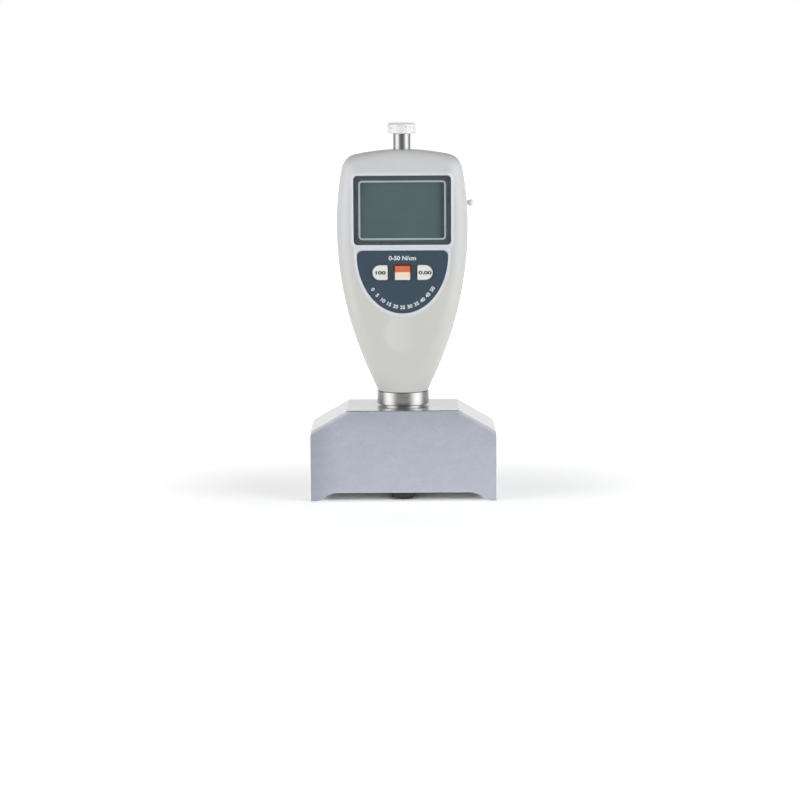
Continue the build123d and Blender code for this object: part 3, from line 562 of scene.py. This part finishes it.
# The label's outline is straight at its sides for a short way and half an ellipse below.
label_low, label_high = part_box("keypad_label")
label_straight = 0.002
label_round_z = label_high.z - label_straight
below_round = calc(tree, "MINIMUM", calc(tree, "SUBTRACT", place["Z"], label_round_z), 0.0)
round_share = span(
    tree,
    calc(tree, "DIVIDE", place["X"], label_high.x),
    calc(tree, "DIVIDE", below_round, label_round_z - label_low.z),
)
round_distance = calc(tree, "MULTIPLY", calc(tree, "SUBTRACT", round_share, 1.0), label_high.x)
above_label = calc(tree, "SUBTRACT", place["Z"], label_high.z)
label_distance = calc(tree, "MAXIMUM", round_distance, above_label)
# Painted highlight: a lighter band round the display window and the label's recess, on the front.
rim = ramp(tree, calc(tree, "MINIMUM", window_distance, label_distance), rim_highlight_reach, 0.0)
on_front = calc(tree, "LESS_THAN", place["Y"], front_side)
on_rim_highlight = calc(tree, "MULTIPLY", rim, on_front)
housing_colour = blend_colour(tree, on_rim_highlight, housing_colour, rim_painted_highlight)
# Painted light: the left side of the thumb's dimple is lighter, fading out towards its right.
above_thumb = calc(tree, "SUBTRACT", place["Z"], thumb_height)
thumb_distance = span(tree, place["X"], above_thumb)
dimple_painted_light = calc(tree, "MULTIPLY", ramp(tree, thumb_distance, *thumb_edge), on_front)
dimple_painted_light = calc(tree, "MULTIPLY", dimple_painted_light, ramp(tree, place["X"], *thumb_lit_edge))
housing_colour = blend_colour(tree, dimple_painted_light, housing_colour, dimple_lit_grey)
fine = grain(
    tree, housing_colour, shade=0.012, roughness=0.31, spread=0.04, marks=(3200, 3200, 3200)
)
broad = grain(tree, fine[0], shade=0.010, roughness=0.31, spread=0.0, marks=(45, 45, 30))
housing_relief = 0.000014
feed(tree, shader.inputs["Base Color"], broad[0])
feed(tree, shader.inputs["Roughness"], fine[1])
relief(tree, shader, fine[2], housing_relief)
dress(housing_finish, "front_shell", "rear_shell", "battery_cover")

# Display
# A clear plate lies over a dark printed mask, whose thin light line frames the window. Behind it
# is the liquid crystal cell, unlit and grey green, with a painted shadow towards its right edge.


def clear_coat(shader, weight, roughness):
    """A clear layer over a printed sheet or a cell."""
    shader.inputs["Coat Weight"].default_value = weight
    shader.inputs["Coat Roughness"].default_value = roughness


lens_finish, tree, shader = new_finish("clear plate")
shader.inputs["Base Color"].default_value = paint(60, 66, 72)
shader.inputs["Alpha"].default_value = 0.10
shader.inputs["Roughness"].default_value = 0.04
dress(lens_finish, "display_lens")

mask_colour = paint(83, 92, 97)
line_colour = paint(196, 208, 214)
line_width = 0.0009
window_width = 0.0417
window_height = 0.0277
window_corner = 0.001
mask_low, mask_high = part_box("display_mask")
window_centre = ((mask_low.x + mask_high.x) / 2, (mask_low.z + mask_high.z) / 2)

mask_finish, tree, shader = new_finish("printed mask")
edge_distance = outside_frame(tree, window_centre, window_width, window_height, window_corner)
on_line = calc(tree, "LESS_THAN", edge_distance, line_width)
mask_print = blend_colour(tree, on_line, mask_colour, line_colour)
lay_grain(
    tree, shader, mask_print, shade=0.03, roughness=0.3, spread=0.04, marks=(900, 900, 900)
)
clear_coat(shader, weight=0.5, roughness=0.06)
dress(mask_finish, "display_mask")

cell_colour = paint(97, 119, 118)
cell_shadow_colour = paint(76, 92, 98)
cell_shadow_width = 0.0045
cell_finish, tree, shader = new_finish("liquid crystal cell")
place = split_axes(tree, "Object")
right_edge = window_centre[0] + window_width / 2
# Painted shadow of the window's edge, darkening the cell towards its right edge.
in_cell_shadow = ramp(tree, place["X"], right_edge - cell_shadow_width, right_edge)
shaded_cell = blend_colour(tree, in_cell_shadow, cell_colour, cell_shadow_colour)
lay_grain(
    tree, shader, shaded_cell, shade=0.03, roughness=0.22, spread=0.03, marks=(70, 70, 90)
)
clear_coat(shader, weight=0.6, roughness=0.05)
dress(cell_finish, "lcd_module")

# Keypad label
# A slate blue sheet, printed from behind and stuck in its recess, with its upper corners left
# clear in the housing rim's painted highlight and a painted dark red shade round the orange key.
# A row of plain numbers follows its round lower edge, and its range stands above the keys.
label_colour = paint(61, 78, 91)
orange_shade_colour = paint(96, 38, 28)
orange_shade_reach = 0.0013
flange_reach = 0.0007
ivory_height = 0.004
key_corner = 0.0006
print_corner = 0.0026
power_low, power_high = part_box("key_power")
power_split = power_low.z + flange_reach + ivory_height
orange_top = power_high.z - flange_reach
orange_width = power_high.x - power_low.x - 2 * flange_reach
orange_height = orange_top - power_split
orange_centre = (0.0, (power_split + orange_top) / 2)

label_finish, tree, shader = new_finish("printed label")
orange_distance = outside_frame(tree, orange_centre, orange_width, orange_height, key_corner)
place = split_axes(tree, "Object")
above_split = ramp(tree, place["Z"], power_split, power_split + key_corner)
# Painted shade: dark red round the orange half of the power key, above its split.
near_orange = ramp(tree, orange_distance, orange_shade_reach, key_corner)
on_orange_shade = calc(tree, "MULTIPLY", near_orange, above_split)
# The label's print with the painted shade round the orange key laid over it.
printed = blend_colour(tree, on_orange_shade, label_colour, orange_shade_colour)

# The print's frame is twice as tall as the label, so that it rounds the upper corners only.
print_width = label_high.x - label_low.x
print_height = 2 * (label_high.z - label_low.z)
print_distance = outside_frame(tree, (0.0, label_low.z), print_width, print_height, print_corner)
past_print = calc(tree, "GREATER_THAN", print_distance, 0.0)
# Past the print's rounded corners the rim's painted highlight grey shows.
printed = blend_colour(tree, past_print, printed, rim_painted_highlight)
lay_grain(
    tree, shader, printed,
    shade=0.04, roughness=0.30, spread=0.05, marks=(1600, 1600, 1600), depth=0.000006,
)
clear_coat(shader, weight=0.25, roughness=0.12)
dress(label_finish, "keypad_label")

print_thickness = 0.00004


def mark_mesh(words, height, stretch, weight):
    """The corners and faces of a printed mark: letters of that height, centred across the origin.

    x runs along the words, y up them from their foot, and z out of the sheet, by the ink's
    thickness. Stretch makes the letters wider, and weight bolder.
    """
    half_depth = 0.5
    curve = bpy.data.curves.new("mark", "FONT")
    curve.body = words
    curve.align_x = "CENTER"
    curve.size = 1.0
    curve.offset = weight
    curve.extrude = half_depth
    holder = bpy.data.objects.new("mark", curve)
    scene.collection.objects.link(holder)
    bpy.context.view_layer.update()
    evaluated = holder.evaluated_get(bpy.context.evaluated_depsgraph_get())
    mesh = bpy.data.meshes.new_from_object(evaluated)
    corners = np.empty(len(mesh.vertices) * 3)
    mesh.vertices.foreach_get("co", corners)
    corners = corners.reshape(-1, 3)
    faces = [tuple(polygon.vertices) for polygon in mesh.polygons]
    corners[:, 1] -= corners[:, 1].min()
    corners[:, :2] *= height / corners[:, 1].max()
    corners[:, 0] *= stretch
    corners[:, 2] = (corners[:, 2] + half_depth) * print_thickness
    bpy.data.objects.remove(holder)
    bpy.data.curves.remove(curve)
    return corners, faces


def print_on(sheet_y, blocks, name, finish, body):
    """Makes one piece of printed marks on a sheet that faces the viewer at depth sheet_y.

    Each block is a mark's corners and faces, the x and z of its foot and how far it is turned.
    A corner's x goes along the turned foot, its y up from it, and its z towards the viewer.
    """
    all_corners = []
    all_faces = []
    for (corners, faces), (foot_x, foot_z), turn in blocks:
        start = sum(len(done) for done in all_corners)
        along = corners[:, 0] * math.cos(turn) - corners[:, 1] * math.sin(turn) + foot_x
        up = corners[:, 0] * math.sin(turn) + corners[:, 1] * math.cos(turn) + foot_z
        all_corners.append(np.stack([along, sheet_y - corners[:, 2], up], axis=1))
        all_faces += [tuple(start + index for index in face) for face in faces]
    mesh = bpy.data.meshes.new(name)
    mesh.from_pydata(np.concatenate(all_corners).tolist(), [], all_faces)
    mesh.materials.append(finish)
    piece = bpy.data.objects.new(name, mesh)
    scene.collection.objects.link(piece)
    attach(piece, body)


ink_finish = grained_finish(
    "white ink", paint(226, 232, 236),
    shade=0.02, roughness=0.38, spread=0.03, marks=(1500, 1500, 1500), depth=0.000003,
)
scale_inset = 0.0021
scale_reach = 0.0156
scale_end = 50
scale_number_step = 5
scale_samples = 2001
number_height = 0.0019
number_stretch = 1.05
number_weight = 0.03
range_height = 0.0022
range_drop = 0.0048
range_stretch = 1.08

round_half_x = (label_high.x - label_low.x) / 2 - scale_inset
round_half_z = label_round_z - label_low.z - scale_inset


def scale_place(value):
    """The foot of a mark at that value, and its turn, on an ellipse inside the label's round edge.

    The values are spaced evenly by the length along the ellipse, from one end of the scale to the
    other, and a mark's turn is the ellipse's slope there.
    """
    last = math.asin(scale_reach / round_half_x)
    angles = np.linspace(-last, last, scale_samples)
    x = round_half_x * np.sin(angles)
    z = label_round_z - round_half_z * np.cos(angles)
    length = np.concatenate([[0], np.cumsum(np.hypot(np.diff(x), np.diff(z)))])
    angle = np.interp(value / scale_end * length[-1], length, angles)
    slope = math.atan2(round_half_z * math.sin(angle), round_half_x * math.cos(angle))
    return (round_half_x * math.sin(angle), label_round_z - round_half_z * math.cos(angle)), slope


scale_blocks = []
for value in range(0, scale_end + 1, scale_number_step):
    mark = mark_mesh(str(value), number_height, number_stretch, number_weight)
    scale_blocks.append((mark, *scale_place(value)))
range_place = (0.0, label_high.z - range_drop)
range_mark = mark_mesh("0-50 N/cm", range_height, range_stretch, number_weight)
scale_blocks.append((range_mark, range_place, 0.0))
print_on(label_low.y, scale_blocks, "label_marks", ink_finish, "root")

# Keys
# Three moulded keys stand through the label. The side ones are ivory with a dark printed number,
# and the middle one is two-coloured, with its orange half sunk and its ivory half tinted peach
# next to it.
ivory = paint(232, 232, 226)
orange = paint(214, 120, 84)
peach = paint(254, 219, 191)
peach_reach = 0.0035
key_grain = {
    "shade": 0.012,
    "roughness": 0.36,
    "spread": 0.04,
    "marks": (1800, 1800, 1800),
    "depth": 0.000006,
}
key_finish = grained_finish("ivory key plastic", ivory, **key_grain)
dress(key_finish, "key_left", "key_right")
power_finish, tree, shader = new_finish("two-colour key plastic")
place = split_axes(tree, "Object")
upper_half = calc(tree, "GREATER_THAN", place["Z"], power_split)
peach_share = ramp(tree, place["Z"], power_split - peach_reach, power_split)
lower_colour = blend_colour(tree, peach_share, ivory, peach)
power_colour = blend_colour(tree, upper_half, lower_colour, orange)
lay_grain(tree, shader, power_colour, **key_grain)
dress(power_finish, "key_power")

legend_finish = grained_finish(
    "dark ink", paint(74, 76, 74),
    shade=0.02, roughness=0.4, spread=0.03, marks=(1500, 1500, 1500), depth=0.000003,
)
legend_height = 0.0018
legend_stretch = 1.65
legend_weight = 0.05
for key_name, words in (("key_left", "100"), ("key_right", "0.00")):
    key_low, key_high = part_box(key_name)
    centre_x = (key_low.x + key_high.x) / 2
    foot = (centre_x, (key_low.z + key_high.z) / 2 - legend_height / 2)
    legend = [(mark_mesh(words, legend_height, legend_stretch, legend_weight), foot, 0.0)]
    print_on(key_low.y, legend, key_name + "_legend", legend_finish, key_name)

# Switches, board and cells
# What the housing closes over: a green board with its parts on two sides, rubber connector
# strips, the display's holder, and four cells between sprung contacts. Plated screws hold the
# board and the shells.
rubber_finish = grained_finish(
    "rubber strip", paint(92, 94, 98),
    shade=0.10, roughness=0.6, spread=0.05, marks=(3000, 100, 100), depth=0.00001,
)
dress(rubber_finish, "zebra_strips")
holder_finish = grained_finish(
    "holder plastic", paint(214, 214, 208),
    shade=0.02, roughness=0.45, spread=0.05, marks=(1500, 1500, 1500), depth=0.00001,
)
dress(holder_finish, "lcd_holder")
board_finish = grained_finish(
    "circuit board", paint(44, 92, 62),
    shade=0.10, roughness=0.36, spread=0.06, marks=(700, 700, 700), depth=0.00001,
)
dress(board_finish, "circuit_board")
chip_finish = grained_finish(
    "chip plastic", paint(46, 47, 50),
    shade=0.06, roughness=0.5, spread=0.06, marks=(2400, 2400, 2400), depth=0.00001,
)
dress(chip_finish, "board_chips", "tact_switches", "plunger_left", "plunger_power", "plunger_right")
screw_finish = grained_finish(
    "plated screws", paint(176, 177, 180), metallic=1.0,
    shade=0.04, roughness=0.28, spread=0.05, marks=(1500, 1500, 1500), depth=0.000005,
)
dress(screw_finish, "board_screws", "shell_screws")
contact_finish = grained_finish(
    "nickel strip", paint(206, 204, 198), metallic=1.0,
    shade=0.04, roughness=0.24, spread=0.05, marks=(200, 2400, 200), depth=0.000005,
)
dress(contact_finish, "battery_contacts")
jacket_finish = grained_finish(
    "cell jacket", paint(60, 96, 128), metallic=0.3,
    shade=0.02, roughness=0.3, spread=0.03, marks=(900, 900, 900), depth=0.000001,
)
dress(jacket_finish, "battery_cell_1", "battery_cell_2", "battery_cell_3", "battery_cell_4")

# Top stem, thumb knob and strap stud
# The stem is polished steel, trapped between the shells. The knob is bright turned metal with a
# fluted rim, screwed on its thread. The stud is turned and plated.
stem_finish = grained_finish(
    "polished steel", paint(182, 182, 182), metallic=1.0,
    shade=0.02, roughness=0.30, spread=0.03, marks=(40, 40, 3600), depth=0.000002,
)
dress(stem_finish, "top_stem")
knob_finish = grained_finish(
    "bright knob metal", paint(234, 234, 234), metallic=0.1,
    shade=0.01, roughness=0.40, spread=0.04, marks=(900, 900, 4200), depth=0.000003,
)
dress(knob_finish, "thumb_knob")
stud_finish = grained_finish(
    "plated stud", paint(232, 232, 231), metallic=0.1,
    shade=0.02, roughness=0.40, spread=0.05, marks=(4200, 600, 600), depth=0.000003,
)
dress(stud_finish, "strap_stud")
